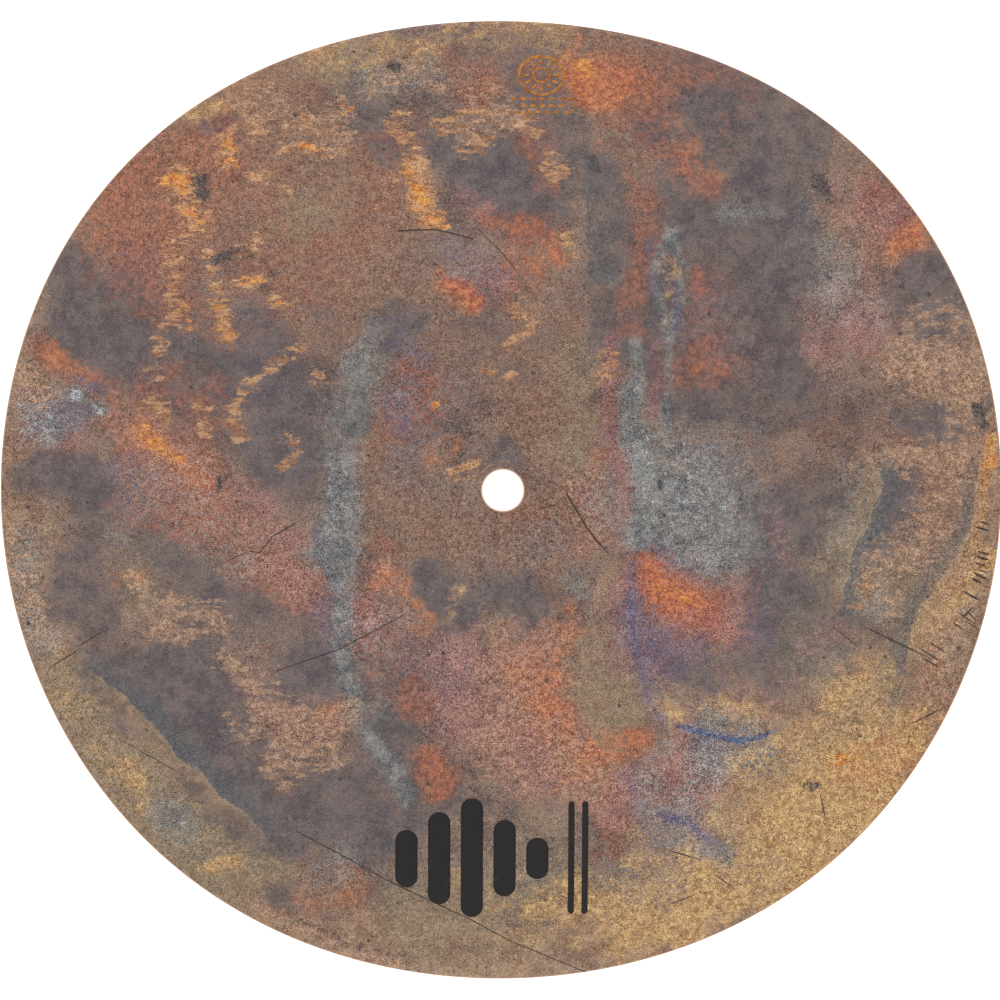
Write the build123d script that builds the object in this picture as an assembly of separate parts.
from build123d import *
import math
import os

os.makedirs("parts", exist_ok=True)

# A flat, bell-less cymbal disc for a stack, with two opposite ends rolled down.
# Row frame: the origin is the middle of the hole, half way through the sheet. +Z is the hole's axis and
# points up out of the convex playing face, +Y points at the longer rolled end. Millimetres.
# "Along the sheet" means measured on the flat blank, before the ends are rolled.

# Driving dimensions
DISC_RADIUS = 152.4        # a 12 inch blank, cut round while it is flat
SHEET = 1.0                # thickness of the bronze
HOLE_RADIUS = 6.35         # the usual 1/2 inch cymbal hole
BEND_RADIUS = 165.0        # of both rolled ends, to the middle of the sheet
FLAT_TO_LONG_ROLL = 44.0   # from the hole to the start of the longer roll, on the +Y side
FLAT_TO_SHORT_ROLL = 93.0  # from the hole to the start of the shorter roll, on the -Y side
EDGE_ROUND = 0.2           # the sheared edges are stoned round by this radius

INK = 0.05                 # thickness of the printed mark
MARK_MIDDLE = (-9.3, -112.7)            # across and along the sheet, from the hole
BAR_WIDTH = 6.8
BAR_PITCH = 10.0
BAR_LENGTHS = (18.0, 29.0, 37.4, 24.0, 13.0)
RULE_WIDTH = 1.9
RULE_LENGTH = 35.4
RULE_OFFSETS = (30.4, 34.6)             # of the two thin rules, right of the middle bar

OUTLINE_POINTS = 15        # on each rolled end's curved outline
ROLL_DEPTH = 60.0          # more than either rolled end drops


def bent(along, lift=0.0):
    """Y and Z of a place on the rolled sheet, lift above the middle of its thickness."""
    side = 1 if along > 0 else -1
    flat = FLAT_TO_LONG_ROLL if along > 0 else FLAT_TO_SHORT_ROLL
    turn = max(0.0, abs(along) - flat) / BEND_RADIUS
    radius = BEND_RADIUS + lift
    reach = min(abs(along), flat) + radius * math.sin(turn)
    return side * reach, radius * math.cos(turn) - BEND_RADIUS


def roll_face(side, flat, lift):
    """The surface of one rolled end at this lift, cut to the round blank's outline."""
    radius = BEND_RADIUS + lift
    half_chord = math.sqrt(DISC_RADIUS**2 - flat**2)
    start = math.atan2(flat, half_chord)
    corners = []
    for step in range(OUTLINE_POINTS):
        angle = start + (math.pi - 2 * start) * step / (OUTLINE_POINTS - 1)
        along = side * DISC_RADIUS * math.sin(angle)
        corners.append((DISC_RADIUS * math.cos(angle), bent(along, lift)[0]))
    tangent = Vector(-flat, side * half_chord)
    edge = Spline(*corners, tangents=[tangent, Vector(-flat, -side * half_chord)])
    chord = Line(corners[-1], corners[0])
    plan = make_face([edge, chord])
    cutter = extrude(plan, amount=ROLL_DEPTH, both=True)

    turn = (DISC_RADIUS - flat) / BEND_RADIUS + 0.1
    centre = (-DISC_RADIUS, side * flat, -BEND_RADIUS)
    profile = Plane(origin=centre, x_dir=(0, side, 0), z_dir=(side, 0, 0))
    arc = profile * CenterArc((0, 0), radius, 90 - math.degrees(turn), math.degrees(turn))
    barrel = Face.extrude(arc.edge(), (2 * DISC_RADIUS, 0, 0))
    return barrel & cutter


def cymbal_disc():
    """The bronze sheet: a flat middle with the hole, and a rolled end on each side of it."""
    blank = Circle(DISC_RADIUS)
    middle_length = FLAT_TO_LONG_ROLL + FLAT_TO_SHORT_ROLL
    middle_y = (FLAT_TO_LONG_ROLL - FLAT_TO_SHORT_ROLL) / 2
    band = Pos(0, middle_y) * Rectangle(3 * DISC_RADIUS, middle_length)
    flat = (blank & band) - Circle(HOLE_RADIUS)
    disc = extrude(flat, amount=SHEET / 2, both=True)
    for side, flat_reach in ((1, FLAT_TO_LONG_ROLL), (-1, FLAT_TO_SHORT_ROLL)):
        upper = roll_face(side, flat_reach, SHEET / 2)
        disc += thicken(upper.faces(), amount=-SHEET, normal_override=(0, 0, 1))
    rounded = [edge for edge in disc.edges() if edge.geom_type != GeomType.LINE]
    return fillet(rounded, EDGE_ROUND)


def printed_mark():
    """Five rounded bars and two thin rules of ink, wrapped over the shorter rolled end."""
    across, along = MARK_MIDDLE
    shapes = []
    for place, length in enumerate(BAR_LENGTHS):
        x = across + (place - 2) * BAR_PITCH
        shapes.append((x, length, BAR_WIDTH))
    for offset in RULE_OFFSETS:
        shapes.append((across + offset, RULE_LENGTH, RULE_WIDTH))
    solids = []
    centre = Pos(0, -FLAT_TO_SHORT_ROLL, -BEND_RADIUS)
    for x, length, width in shapes:
        near = bent(along + length / 2, SHEET / 2)[0]
        far = bent(along - length / 2, SHEET / 2)[0]
        bar = Pos(x, (near + far) / 2) * SlotOverall(near - far, width, rotation=90)
        outer = centre * Cylinder(BEND_RADIUS + SHEET / 2 + INK, 4 * width, rotation=(0, 90, 0))
        inner = Cylinder(BEND_RADIUS + SHEET / 2, 6 * width, rotation=(0, 90, 0))
        band = Pos(x, 0, 0) * (outer - centre * inner)
        solids.append((extrude(bar, amount=ROLL_DEPTH, both=True) & band).solid())
    return Compound(solids)


disc = cymbal_disc()
print("disc", disc.is_valid, round(disc.volume, 1), disc.bounding_box())
export_step(disc, "parts/cymbal_disc.step")
mark = printed_mark()
print("mark", mark.is_valid, round(mark.volume, 2), mark.bounding_box())
export_step(mark, "parts/printed_mark.step")
